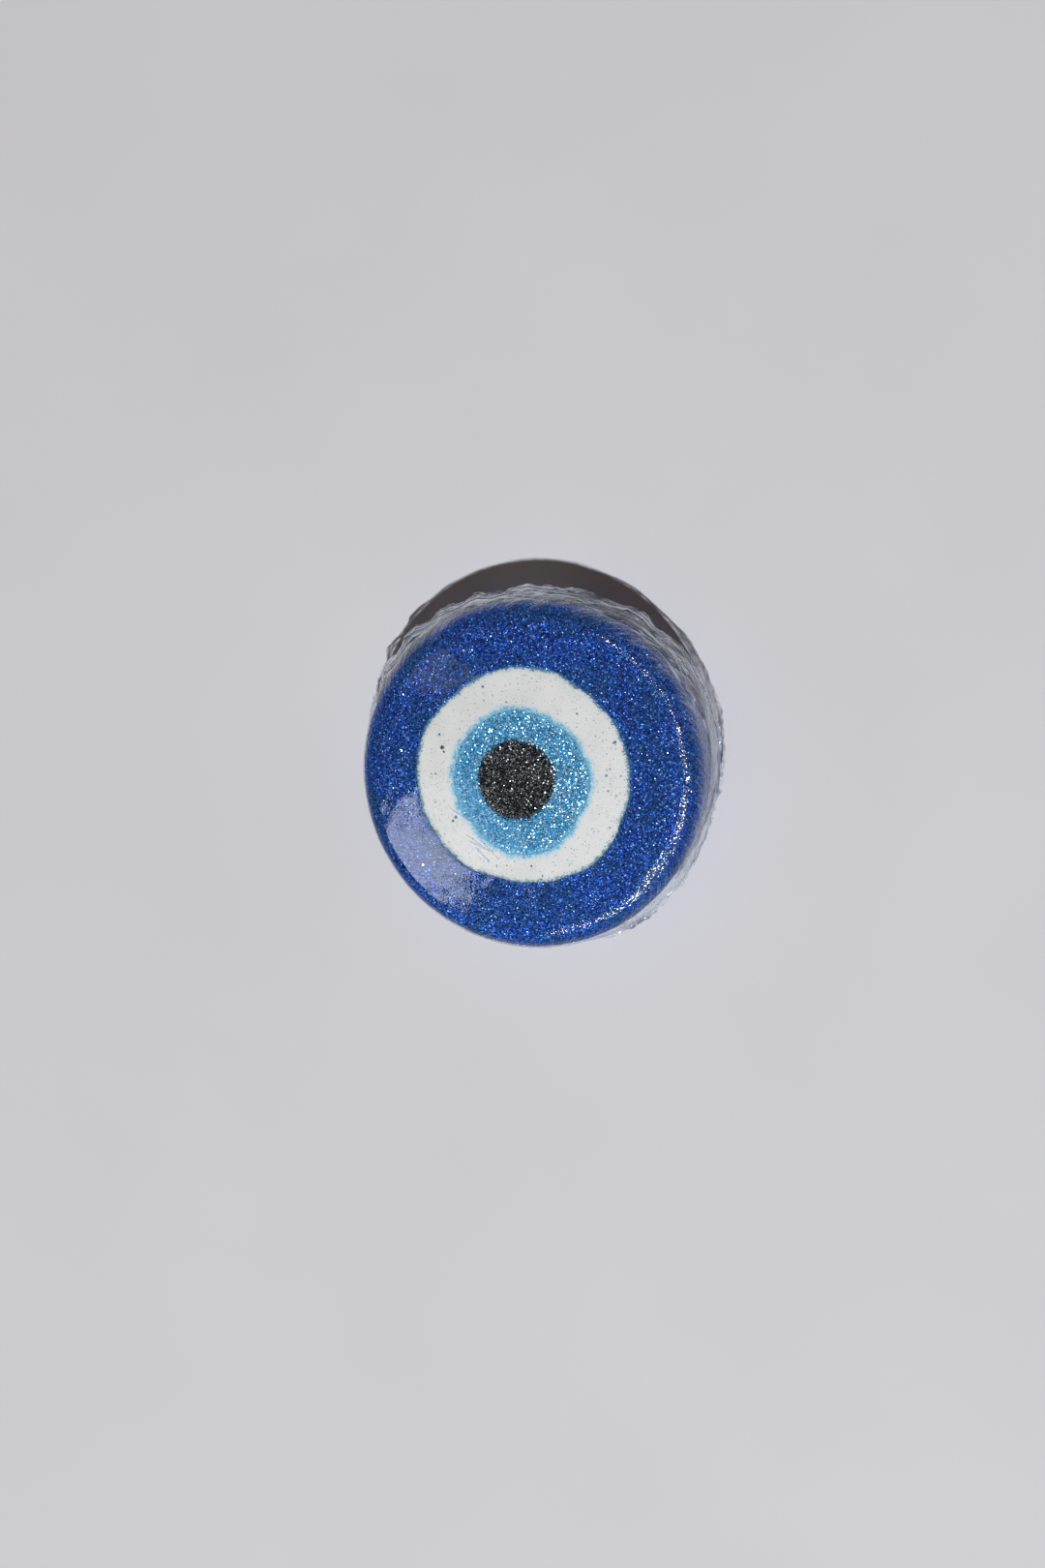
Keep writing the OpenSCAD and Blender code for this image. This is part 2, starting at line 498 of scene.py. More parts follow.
def white_wax():
    n = Nodes("white_wax")
    place = n.place()
    slow = n.noise(place, 5, 3.0, 0.5)
    color = n.ramp(slow, [(0.35, (0.8, 0.8, 0.77)), (0.65, (0.86, 0.86, 0.83))])
    outer = ragged(n, place, n.attribute("edge_out"), 0.5)
    color = n.mix(n.between(outer, 0.0, 1.3, 0.55, 0.0), color, (0.34, 0.56, 0.58))
    blue = grains(n, place, 0.21, n.between(outer, -0.1, 0.8, 0.9, 0.0))
    color = n.mix(n.times(blue, 0.85), color, (0.04, 0.16, 0.34))
    inner = ragged(n, place, n.attribute("edge_in"), 0.6)
    color = n.mix(n.between(inner, 0.0, 1.7, 0.85, 0.0), color, (0.27, 0.66, 0.86))
    sky = grains(n, place, 0.21, n.between(inner, 0.0, 1.2, 0.75, 0.0))
    color = n.mix(n.times(sky, 0.8), color, (0.08, 0.4, 0.7))
    for spacing, reach, strength in SPECKS:
        specks = n.cells(place, spacing)
        pick, hue, _ = cell_parts(n, specks)
        size = n.between(pick, 0.4, 1.0, 0.0, reach)
        inside_dot = n.minus(size, specks.outputs["Distance"])
        dot = n.between(inside_dot, 0.0, 0.04)
        ink = n.ramp(hue, SPECK_INKS)
        color = n.mix(n.times(dot, strength), color, ink)
    relief = n.bump(n.noise(place, 0.5, 3.0, 0.6), 0.3, 0.05 * MM)
    return n.finish(n.principled(
        Base_Color=color,
        Roughness=n.between(slow, 0.3, 0.7, 0.42, 0.56),
        Normal=relief,
        Subsurface_Weight=0.12,
        Subsurface_Radius=(MM, MM, MM),
        Subsurface_Scale=1.0,
    ))


def iris_wax():
    n = Nodes("iris_glitter_wax")
    place = n.place()
    color, shine, normal = flake_grounds(n, place, GRAIN, [
        (0.0, (0.01, 0.14, 0.4)),
        (0.35, (0.02, 0.27, 0.6)),
        (0.7, (0.06, 0.42, 0.8)),
        (0.88, (0.25, 0.7, 0.95)),
        (1.0, (0.85, 0.95, 0.97)),
    ])
    slow = n.noise(place, 4, 3.0, 0.6)
    color = n.mix(n.between(slow, 0.4, 0.7, 0.1, 0.6), color, (0.05, 0.4, 0.78))
    outer = ragged(n, place, n.attribute("edge_out"), 0.6)
    color = n.mix(n.between(outer, 0.0, 1.4, 0.75, 0.0), color, (0.22, 0.62, 0.86))
    inner = ragged(n, place, n.attribute("edge_in"), 0.25)
    soot = grains(n, place, GRAIN, n.between(inner, 0.0, 0.7, 0.75, 0.0))
    color = n.mix(n.times(soot, 0.9), color, (0.01, 0.03, 0.06))
    return n.finish(glitter_shader(n, color, shine, normal, 0.22))


def pupil_wax():
    n = Nodes("pupil_glitter_wax")
    place = n.place()
    color, shine, normal = flake_grounds(n, place, 0.19, [
        (0.0, (0.003, 0.004, 0.006)),
        (0.5, (0.009, 0.011, 0.014)),
        (0.78, (0.03, 0.035, 0.042)),
        (0.92, (0.11, 0.12, 0.135)),
        (1.0, (0.5, 0.5, 0.49)),
    ])
    outer = ragged(n, place, n.attribute("edge_out"), 0.2)
    pale = grains(n, place, GRAIN, n.between(outer, 0.0, 0.5, 0.6, 0.0))
    color = n.mix(n.times(pale, 0.8), color, (0.02, 0.18, 0.4))
    return n.finish(glitter_shader(n, color, shine, normal, 0.1))


def flake_foil(name, stops, metallic, roughness, bright):
    """Metallised film flakes, each of its own colour; those past `bright` are like mirrors."""
    n = Nodes(name)
    island = n.add("ShaderNodeNewGeometry").outputs["Random Per Island"]
    color = n.ramp(island, stops)
    grain = n.noise(n.place(), 0.08, 2.0, 0.6)
    satin = n.between(grain, 0.2, 0.8, roughness - 0.05, roughness + 0.07)
    mirror = n.between(island, bright - 0.01, bright, 0.0, 0.75)
    return n.finish(n.principled(
        Base_Color=color,
        Roughness=n.times(satin, n.minus(1.0, mirror)),
        Metallic=metallic,
        Specular_IOR_Level=0.1,
    ))


# Creases in the film over the white, drawn as milky streaks that are a painted highlight: [start, end, half
# width in mm, strength]
PAINTED_CREASE_HIGHLIGHTS = [
    ((-16.0, -6.9), (-11.6, -9.6), 0.22, 0.75),
    ((-11.8, -13.6), (-7.2, -15.6), 0.3, 0.55),
    ((-10.6, -14.9), (-8.0, -17.4), 0.34, 0.6),
    ((-9.4, -13.4), (-6.0, -17.0), 0.22, 0.45),
    ((-12.6, -12.2), (-9.0, -14.6), 0.18, 0.45),
]


def mark(n, place, start, end, width):
    """A thin straight mark on the face between two points (x, y in mm), from 0 to 1."""
    run = (end[0] - start[0], end[1] - start[1], 0)
    square = run[0] ** 2 + run[1] ** 2
    flat = n.vector("MULTIPLY", place, (1, 1, 0))
    from_start = n.vector("SUBTRACT", flat, (*start, 0))
    along = n.vector("DOT_PRODUCT", from_start, [v / square for v in run])
    foot = n.vector("MULTIPLY", run, n.times(along, 1.0, clamp=True))
    return n.between(n.vector("DISTANCE", from_start, foot), 0.0, width, 1.0, 0.0)


def film_lines(n):
    """The gathered film's strands, and pale, dark and hair-thin lines drawn along its folds; the dark lines
    are painted shade beside the pale ones.
    """
    flow = n.attribute("flow", "Vector")
    strands = n.stretched(flow, (0.055, 0.055, 0.36), 2.0, 0.45)
    threads = n.stretched(flow, (0.1, 0.1, 0.62), 1.0, 0.5)
    hairs = n.stretched(n.attribute("sweep", "Vector"), (0.45, 0.45, 0.07), 2.0, 0.5)
    patches = n.between(n.stretched(flow, (0.11, 0.11, 0.16), 2.0, 0.5), 0.38, 0.6, 0.35, 1.0)
    thick = level_line(n, strands, 0.5, 0.035)
    thin = n.times(level_line(n, threads, 0.48, 0.035), 0.7)
    pale = n.times(n.math("MAXIMUM", thick, thin), patches)
    # painted shade: a dark line beside each pale strand, where the film lets less through
    dark = level_line(n, strands, 0.57, 0.035)
    fine = level_line(n, hairs, 0.5, 0.03)
    return strands, pale, dark, fine


def film_normal(n, strands, pale, fine, beads):
    """The film's normal: folds and hairs where it is gathered, beads at the crease, a ripple all over."""
    crinkle = n.attribute("crinkle")
    height = n.times(n.plus(strands, n.times(pale, 0.6)), crinkle)
    height = n.plus(height, n.times(n.times(fine, crinkle), 0.25))
    beaded = n.plus(n.attribute("beads"), n.times(n.attribute("haze"), 0.5))
    height = n.plus(height, n.times(beads, beaded))
    ripple = n.stretched(n.place(), (0.9, 0.22, 0.3), 4.0, 0.65)
    height = n.plus(height, n.times(ripple, 0.09))
    return n.bump(height, 1.0, 0.22 * MM)


def film_mirror(n, normal, beads):
    """How much of a mirror the film is: by angle, on the beads, and a little off the white."""
    weight = n.fed("ShaderNodeLayerWeight", Blend=0.5, Normal=normal)
    steep = n.times(n.math("POWER", weight.outputs["Facing"], 5.0), 0.3)
    lumps = n.attribute("beads")
    crest = n.between(beads, 0.44, 0.54)
    glint = n.times(n.times(n.math("POWER", lumps, 4.0), 0.24), crest)
    beaded = n.times(lumps, 1.6, clamp=True)
    between_beads = n.times(beaded, n.minus(1.0, crest), clamp=True)
    level = n.between(n.attribute("cling"), 0.0, 1.0, 0.036, 0.008)
    level = n.times(level, n.minus(1.0, between_beads))
    return n.plus(steep, n.plus(glint, level))


def film_milk(n, pale, fine):
    """How milky the film is: along its folds, faintly where it is hazy, and in milky streaks of painted
    highlight along the creases on the white.
    """
    thin = n.times(n.plus(n.times(fine, 0.6), 0.04), n.attribute("haze"))
    amount = n.plus(n.times(n.attribute("milk"), pale), thin)
    # painted highlight: milky streaks along the creases over the white
    for start, end, width, strength in PAINTED_CREASE_HIGHLIGHTS:
        amount = n.plus(amount, n.times(mark(n, n.place(), start, end, width), strength))
    return amount


def clear_film(name, milk):
    """Thin clear film: what is behind shows through, gloss by angle, milky lines in the folds and dark
    lines of painted shade beside them.
    """
    n = Nodes(name)
    strands, pale, dark, fine = film_lines(n)
    beads = n.noise(n.place(), 0.42, 1.0, 0.5)
    normal = film_normal(n, strands, pale, fine, beads)

    # painted shade: the film lets less through along the dark lines beside its folds
    shade = n.times(dark, n.attribute("milk"), clamp=True)
    painted_shade_tint = n.mix(shade, (0.985, 0.99, 0.995), (0.42, 0.46, 0.55))
    clear = n.fed("ShaderNodeBsdfTransparent", Color=painted_shade_tint)
    rough = n.between(n.attribute("beads"), 0.2, 0.9, 0.03, 0.08)
    gloss = n.fed("ShaderNodeBsdfGlossy", Color=(1, 1, 1), Roughness=rough, Normal=normal)
    skin = n.mix_shaders(film_mirror(n, normal, beads), clear.outputs[0], gloss.outputs[0])

    milky = n.fed("ShaderNodeBsdfDiffuse", Color=(0.8, 0.88, 1.0), Normal=normal)
    amount = n.times(film_milk(n, pale, fine), milk, clamp=True)
    return n.finish(n.mix_shaders(amount, skin, milky.outputs[0]))


def table_top():
    n = Nodes("pale_table")
    place = n.place()
    mottle = n.noise(place, 60, 3.0, 0.5)
    color = n.ramp(mottle, [(0.3, (0.71, 0.71, 0.745)), (0.7, (0.735, 0.735, 0.765))])
    grain = n.noise(place, 1.5, 3.0, 0.6)
    roughness = n.between(grain, 0.2, 0.8, 0.65, 0.8)
    return n.finish(n.principled(Base_Color=color, Roughness=roughness, Specular_IOR_Level=0.1))


# ---------------- the poured layers
# Points round a pour, and the unevenness of each pour's face
AROUND = 640
GLITTER_ROUGH = 0.05 * MM
WHITE_ROUGH = 0.02 * MM


def turn_angles(count=AROUND):
    return np.arange(count) * TAU / count


def lifted(xy, drop=0.0):
    """Points of the face over xy, lowered by drop."""
    return np.column_stack([xy, face_z(np.hypot(*xy.T)) - drop])


def flat_ring(xy, z):
    return np.column_stack([xy, np.full(len(xy), z)])


def shrunk(edge, share):
    """An outline drawn in towards its middle."""
    middle = edge.mean(0)
    return middle + (edge - middle) * share


def recess(edge, depth):
    """Rings of a recess from the middle of its floor up to its edge."""
    rings = [flat_ring(shrunk(edge, t), TOP_Z - depth) for t in (0.05, 0.5, 1.0)]
    return rings + [lifted(edge, depth / 2)]


def grain_height(points, rough):
    """The fine unevenness of packed flakes under the skin, in metres."""
    x = points[:, 0] / MM
    y = points[:, 1] / MM
    fine = plane_noise(x / 0.45 + 40, y / 0.45 + 40, 3)
    broad = plane_noise(x / 2.5 + 40, y / 2.5 + 40, 4)
    return rough * (0.6 * fine + 0.4 * broad)


def face_rows(inner, outer, rows, rough):
    """Rings over the face from one outline to another; the outlines themselves stay level."""
    rings = []
    for t in np.linspace(0, 1, rows):
        ring = lifted(inner * (1 - t) + outer * t)
        ring[:, 2] += min(1.0, 6 * t, 6 * (1 - t)) * grain_height(ring, rough)
        rings.append(ring)
    return rings


def edge_values(obj, name, rings, edge):
    """Stores each vertex's distance from an outline in mm; the two poles are far from it."""
    away = [np.hypot(*(ring[:, :2] - edge).T) / MM for ring in rings]
    point_values(obj, name, np.concatenate(away + [[9.0, 9.0]]))


def poured_layer(name, pour, within, rows, rough):
    """A pour: the recess for the pour within it, its face, and its outer wall down to its floor."""
    angles = turn_angles()
    outer = outline(pour, angles)
    if within:
        inner = outline(within, angles)
        rings = recess(inner, POUR_DEPTH[within])
        rings += face_rows(inner, outer, rows, rough)
    else:
        rings = face_rows(shrunk(outer, 0.01), outer, rows, rough)
    top = face_z(np.hypot(*outer.T))
    floor = TOP_Z - POUR_DEPTH[pour]
    for t in (0.3, 0.7, 1.0):
        rings.append(np.column_stack([outer, top * (1 - t) + floor * t]))
    for t in (0.6, 0.05):
        rings.append(flat_ring(shrunk(outer, t), floor))
    obj = closed_turn(name, rings)
    edge_values(obj, "edge_out", rings, outer)
    if within:
        edge_values(obj, "edge_in", rings, inner)
    return obj


def blue_pour():
    """The dark blue block: the white's recess, its face outside the white, shoulder, wall and back."""
    angles = turn_angles()
    turn = angles / TAU
    inner = outline("white", angles)
    rings = recess(inner, POUR_DEPTH["white"])
    rings += face_rows(inner, turned(FACE_R, 0, angles)[:, :2], 36, GLITTER_ROUGH)
    side, out = side_path(40, -math.pi / 2, 84)
    for k, (r, z) in enumerate(side):
        along = k * 0.55 + 5
        rise = 0.03 * MM * ring_noise(turn, along, 420, 8) + 0.06 * MM * ring_noise(turn, along / 7, 60, 9)
        rise *= min(1.0, k / 4, (len(side) - 1 - k) / 4)
        rings.append(turned(r + out[k, 0] * rise, z + out[k, 1] * rise, angles))
    for t in (0.8, 0.5, 0.02):
        rings.append(turned(BACK_EDGE[0] * t, BACK_Z, angles))
    obj = closed_turn("blue_pour", rings)
    edge_values(obj, "edge", rings, inner)
    return obj


# ---------------- loose flakes
# [how many are strewn, widest in mm, how far they lean, height over the wax in mm]
FLAKES = {
    "blue_face": (20500, 0.27, 0.38, 0.06),
    "blue_side": (19000, 0.32, 0.38, 0.03),
    "iris": (9500, 0.3, 0.22, 0.08),
    "pupil": (2200, 0.27, 0.35, 0.06),
    "stray": (420, 0.24, 0.12, 0.03),
}
# The narrowest flake's share of the widest
SMALLEST = 0.55
# Depth of a flake's underside, as a share of its width
FLAKE_POINT = 0.12


def face_normal(xy):
    """Outward normals of the face."""
    normal = np.column_stack([xy[:, 0], xy[:, 1], np.full(len(xy), DOME_R)])
    return normal / np.linalg.norm(normal, axis=1)[:, None]


def flake_cloud(name, points, normals, sizes, lean, seed):
    """Hexagonal flakes, each a closed plate with a shallow point underneath."""
    rng = np.random.default_rng(seed)
    count = len(points)
    axis = normals + rng.normal(0, lean, (count, 3))
    axis /= np.linalg.norm(axis, axis=1)[:, None]
    first = np.cross(axis, rng.normal(0, 1, (count, 3)))
    first /= np.linalg.norm(first, axis=1)[:, None]
    second = np.cross(axis, first)
    corners = []
    for a in turn_angles(6):
        corners.append(points + sizes[:, None] / 2 * (math.cos(a) * first + math.sin(a) * second))
    corners.append(points - axis * sizes[:, None] * FLAKE_POINT)
    verts = np.stack(corners, 1).reshape(-1, 3)
    base = np.arange(count) * len(corners)
    faces = [list(range(b, b + 6)) for b in base.tolist()]
    for k in range(6):
        faces += np.stack([base + (k + 1) % 6, base + k, base + 6], 1).tolist()
    return new_object(name, verts, faces, smooth_shade=False)


def ring_scatter(count, centre, low, high, seed):
    """Points spread evenly over a ring."""
    rng = np.random.default_rng(seed)
    r = np.sqrt(rng.uniform(low ** 2, high ** 2, count))
    a = rng.uniform(0, TAU, count)
    return centre + turned(r, 0, a)[:, :2]


def middle_of(pour):
    return np.array(POUR_SIZE[pour][:2]) * MM


def inside(xy, pour, margin):
    """Which points lie inside a pour's outline, at least margin from it."""
    d = xy - middle_of(pour)
    edge = outline(pour, np.arctan2(d[:, 1], d[:, 0])) - middle_of(pour)
    return np.hypot(*d.T) < np.hypot(*edge.T) - margin


def scatter_on_face(kind, name, xy, seed):
    """Flakes of one kind lying over points of the face."""
    _, widest, lean, lift = FLAKES[kind]
    rng = np.random.default_rng(seed + 1)
    sizes = widest * MM * rng.uniform(SMALLEST, 1.0, len(xy))
    points = lifted(xy)
    points[:, 2] += lift * MM * rng.uniform(0.2, 1.0, len(xy))
    return flake_cloud(name, points, face_normal(xy), sizes, lean, seed)


def blue_face_flakes():
    """Flakes on the blue, from the white's edge out over the crease."""
    count = FLAKES["blue_face"][0]
    xy = ring_scatter(count, (0, 0), 20 * MM, FACE_R + 0.4 * MM, 101)
    xy = xy[~inside(xy, "white", -0.12 * MM)]
    return scatter_on_face("blue_face", "blue_flakes_face", xy, 102)


def blue_side_flakes():
    """Flakes on the shoulder and down the wall, fewer and fewer towards the back."""
    count, widest, lean, lift = FLAKES["blue_side"]
    rng = np.random.default_rng(111)
    side, out = side_path(60, -math.pi / 4, 2000)
    pick = (rng.uniform(0, 1, count) ** 1.25 * (len(side) - 1)).astype(int)
    a = rng.uniform(0, TAU, count)
    at = side[pick] + lift * MM * out[pick]
    sizes = widest * MM * rng.uniform(SMALLEST, 1.0, count)
    normals = turned(out[pick, 0], out[pick, 1], a)
    return flake_cloud("blue_flakes_side", turned(at[:, 0], at[:, 1], a), normals, sizes, lean, 112)


def facing(angle, degrees):
    """1 towards an angle, 0 away from it."""
    return 0.5 * (1 + np.cos(angle - math.radians(degrees)))


def iris_flakes():
    """Silver flakes on the iris, thickest at its top and its right, in patches."""
    radius = POUR_SIZE["iris"][2]
    xy = ring_scatter(FLAKES["iris"][0], middle_of("iris"), 0, (radius + 0.8) * MM, 121)
    xy = xy[inside(xy, "iris", 0.25 * MM) & ~inside(xy, "pupil", 0.1 * MM)]
    d = (xy - middle_of("iris")) / MM
    angle = np.arctan2(d[:, 1], d[:, 0])
    toward = np.maximum(facing(angle, 85), facing(angle, -15))
    patch = 0.5 + 0.5 * plane_noise(d[:, 0] / 2.2 + 30, d[:, 1] / 2.2 + 30, 6)
    chance = 0.1 + 0.9 * toward ** 2.2 * (0.35 + 0.65 * patch)
    keep = np.random.default_rng(122).uniform(0, 1, len(xy)) < chance
    return scatter_on_face("iris", "iris_flakes", xy[keep], 123)


def pupil_flakes():
    """Silver flakes on the pupil, more of them towards its upper right."""
    radius = POUR_SIZE["pupil"][2]
    xy = ring_scatter(FLAKES["pupil"][0], middle_of("pupil"), 0, (radius + 0.4) * MM, 131)
    xy = xy[inside(xy, "pupil", 0.1 * MM)]
    d = (xy - middle_of("pupil")) / MM
    toward = 0.5 + 0.5 * (0.5 * d[:, 0] + 0.6 * d[:, 1]) / radius
    keep = np.random.default_rng(132).uniform(0, 1, len(xy)) < 0.15 + 0.6 * toward
    return scatter_on_face("pupil", "pupil_flakes", xy[keep], 133)


# The larger strays that catch the eye: [x, y and width in mm, places on the white]
STRAYS = [
    (17.6, 7.4, 0.9), (16.0, 0.6, 0.7), (16.4, -2.4, 0.55), (18.0, -3.4, 0.5), (10.0, 12.8, 0.6),
    (-9.2, 17.8, 0.6), (-17.6, 5.4, 0.9), (-17.2, 4.6, 0.6), (-18.2, 8.0, 0.6), (-14.8, -8.6, 0.7),
    (-15.4, -9.4, 0.6), (0.8, -18.0, 0.5), (3.0, -20.0, 0.5), (-8.0, -17.4, 0.5),
]


def stray_flakes():
    """Flakes that strayed on to the white: the larger ones, and a fine dust of others."""
    count, widest, lean, lift = FLAKES["stray"]
    rng = np.random.default_rng(141)
    small = ring_scatter(count, middle_of("white"), 13 * MM, POUR_SIZE["white"][2] * MM, 142)
    small = small[inside(small, "white", 0.3 * MM) & ~inside(small, "iris", -0.4 * MM)]
    large = np.array(STRAYS) * MM
    xy = np.concatenate([large[:, :2], small])
    sizes = np.concatenate([large[:, 2], widest * MM * rng.uniform(0.5, 1.0, len(small))])
    points = lifted(xy, -lift * MM)
    return flake_cloud("stray_flakes", points, face_normal(xy), sizes, lean, 143)


# ---------------- the film
# Points round the front film, the back film and the weld, and round the weld's section
FRONT_AROUND = 540
BACK_AROUND = 400
WELD_AROUND = 900
WELD_SIDES = 12
# Distances along the front film in mm, from the middle of the face: where its beads stand, where
# it starts to fold and is full of folds, and where the weld starts to pull it out and down
BEADS_AT = 31.6
FRONT_FOLDS = (34.5, 39.0)
FRONT_HAZE = (32.0, 38.0)
FRONT_OUT = 33.0
FRONT_DOWN = 36.0
# The same along the back film, from the middle of the back
BACK_FOLDS = (28.5, 33.0)
BACK_OUT = 33.0
BACK_DOWN = 34.0
# Radius in mm of the turn on which the wrinkles are drawn, and how fast the finest of them
# sweep round as they run outwards, in radians per mm
WRINKLE_R = 35
WRINKLE_TWIST = 0.03
# Lumps of gathered film along the weld: [angle and half width in degrees, how far out in mm]
EARS = [
    (28, 5, 0.5), (42, 6, 0.9), (58, 5, 0.6), (97, 6, 0.5), (112, 5, 1.0), (124, 5, 1.9), (137, 6, 2.9),
    (149, 5, 2.5), (160, 6, 1.6), (174, 9, 0.8), (238, 9, 0.7), (256, 8, 0.9), (271, 6, 0.7),
    (292, 8, 0.3), (340, 14, -0.9),
]
# Where the film is gathered more loosely than elsewhere, or less: [angle, half width, by how much]
SLACK = [(95, 65, 0.45), (200, 30, -0.3), (5, 28, -0.3)]


def swells(angles, places):
    """The sum of soft bumps round the puck, each at an angle and with a half width in degrees."""
    degrees = np.degrees(angles)
    total = np.zeros_like(angles)
    for at, width, height in places:
        away = (degrees - at + 180) % 360 - 180
        total += height * np.exp(-(away / width) ** 2)
    return total


def weld_radius(angles):
    """How far out the weld lies, round the puck."""
    ragged_by = 0.22 * edge_noise(angles, 70, 21) + 0.12 * edge_noise(angles, 160, 22)
    return SEAM_R + (swells(angles, EARS) - 0.5 + ragged_by) * MM


def weld_height(angles):
    """How high the weld lies, round the puck."""
    return SEAM_Z + (0.7 * edge_noise(angles, 14, 23) + 0.3 * edge_noise(angles, 50, 24)) * MM


def slack(angles):
    """How loosely the film is gathered: most at the top, least on the left and the right."""
    return 0.55 + swells(angles, SLACK)


def bead_zone(angles):
    """Where small beads of film stand along the crease round the face: on its right side."""
    away = np.abs((np.degrees(angles) + 9 + 180) % 360 - 180)
    return 1 - step(70, 82, away)


def film_section(path, knee, coarse, fine, side):
    """A film's half section, fine past the knee: points, normals to one side, distances in mm."""
    tight = np.linspace(knee, path_length(path)[-1], fine)[1:]
    at = np.concatenate([np.linspace(0, knee, coarse), tight])
    points = points_along(path, at)
    slope = np.gradient(points, at, axis=0)
    normals = side * np.column_stack([-slope[:, 1], slope[:, 0]])
    return points, normals / np.hypot(*normals.T)[:, None], at / MM


def front_path():
    """The front film's half section from the middle of the face to the weld, with its normals."""
    bend_r = SHOULDER_R + FACE_GAP
    corner = np.array([SEAM_R, SEAM_Z])
    touch = touch_angle(corner, SHOULDER, bend_r, 1)
    face = arc((0, DOME_Z), DOME_R + FACE_GAP, math.pi / 2 - 0.4 * MM / DOME_R, crown_angle(), 200)
    bend = arc(SHOULDER, bend_r, crown_angle(), touch, 80)[1:]
    return film_section(np.concatenate([face, bend, [corner]]), 28 * MM, 24, 67, 1)


def back_path():
    """The back film's half section from the middle of the back to the weld, with its normals."""
    bend_r = BACK_EDGE_R + BACK_GAP
    corner = np.array([SEAM_R, SEAM_Z])
    touch = touch_angle(corner, BACK_EDGE, bend_r, -1)
    bend = arc(BACK_EDGE, bend_r, touch, -math.pi / 2, 60)
    middle = np.array([[0.4 * MM, BACK_EDGE[1] - bend_r]])
    path = np.concatenate([[corner], bend, middle])[::-1]
    return film_section(path, BACK_EDGE[0] - 3 * MM, 20, 58, -1)


def film_rings(points, normals, angles, rise, pulled, lowered):
    """Rings of film: the half section turned, risen along its normal and drawn out to the weld."""
    out = weld_radius(angles) - SEAM_R
    down = weld_height(angles) - SEAM_Z
    rings = []
    for k, (point, normal) in enumerate(zip(points, normals)):
        r = point[0] + normal[0] * rise[k] + out * pulled[k]
        z = point[1] + normal[1] * rise[k] + down * lowered[k]
        rings.append(turned(r, z, angles))
    return rings


def front_folds(turn, s, folded):
    """Height in mm of the front film's strands, threads and sweeping wrinkles at a distance along it."""
    warp = 0.014 * ring_noise(turn, s / 6 + 3, 16, 31)
    strands = crease(ring_noise((turn + warp) % 1, s / 2.8 + 7, 24, 32)) ** 2
    threads = crease(ring_noise((turn + 0.5 * warp) % 1, s / 1.7 + 9, 58, 33)) ** 2
    sweep = crease(ring_noise((turn + 0.0045 * s) % 1, s / 3 + 2, 80, 34)) ** 3
    return folded * (0.34 * strands + 0.2 * threads + 0.12 * sweep)


def front_waves(turn, s):
    """Height in mm of the soft waves in the film over the face."""
    calm = step(0, 10, s) * (1 - 0.5 * step(29, 33, s))
    waves = calm * 0.05 * (1 + ring_noise(turn, s / 7 + 5, 20, 36))
    return waves + step(12, 24, s) * 0.02 * (1 + ring_noise(turn, s / 2.2 + 6, 70, 39))


def front_wrap():
    """The front film: over the face, gathered in folds round the shoulder, and out to the weld."""
    angles = turn_angles(FRONT_AROUND)
    turn = angles / TAU
    points, normals, at = front_path()
    end = at[-1]
    loose = slack(angles)
    beaded = bead_zone(angles)
    bead_at = BEADS_AT + 0.35 * edge_noise(angles, 30, 37)
    bead_size = (0.02 + 0.05 * np.abs(edge_noise(angles, 180, 38))) * beaded
    white_edge = np.hypot(*outline("white", angles).T) / MM
    rise = []
    looks = {name: [] for name in ("crinkle", "milk", "haze", "beads", "cling")}
    for s in at:
        folded = step(*FRONT_FOLDS, s) * loose
        pleats = crease(ring_noise(turn, s / 9 + 4, 90, 35)) ** 2
        h = front_folds(turn, s, folded) + front_waves(turn, s)
        h += step(FRONT_FOLDS[1], end, s) * (0.4 + loose) * 0.4 * pleats
        h += np.exp(-((s - bead_at) / 0.6) ** 2) * bead_size
        rise.append(np.maximum(h, 0) * MM)
        bumpy = step(bead_at - 0.9, bead_at - 0.2, s) * (1 - step(33, 36, s))
        near = np.maximum(np.exp(-((s - bead_at) / 0.65) ** 2), 0.6 * bumpy)
        looks["crinkle"].append(0.03 + 0.97 * folded)
        looks["milk"].append(folded + 0.4 * step(end - 5, end, s) * loose)
        looks["haze"].append(step(*FRONT_HAZE, s) * (0.1 + 0.5 * loose))
        looks["beads"].append(near * beaded)
        looks["cling"].append(1 - step(white_edge - 0.4, white_edge + 0.8, s))
    pulled = step(FRONT_OUT, end, at)
    outer = film_rings(points, normals, angles, rise, pulled, step(FRONT_DOWN, end, at))
    return film_shell("front_wrap", outer, normals, angles, at, looks)


def film_shell(name, outer, normals, angles, at, looks):
    """Gives a film its thickness and the values that its material reads."""
    inner = [ring - FILM_T * turned(*normal, angles) for ring, normal in zip(outer, normals)]
    obj = closed_turn(name, outer + inner[::-1])
    both = list(range(len(at))) + list(range(len(at)))[::-1]
    for value_name, values in looks.items():
        point_values(obj, value_name, np.concatenate([values[k] for k in both] + [[0.0, 0.0]]))
    for vector_name, twist in (("flow", 0.0), ("sweep", WRINKLE_TWIST)):
        rows = [turned(WRINKLE_R, at[k], angles + twist * at[k]) for k in both]
        point_values(obj, vector_name, np.concatenate(rows + [np.zeros((2, 3))]))
    return obj


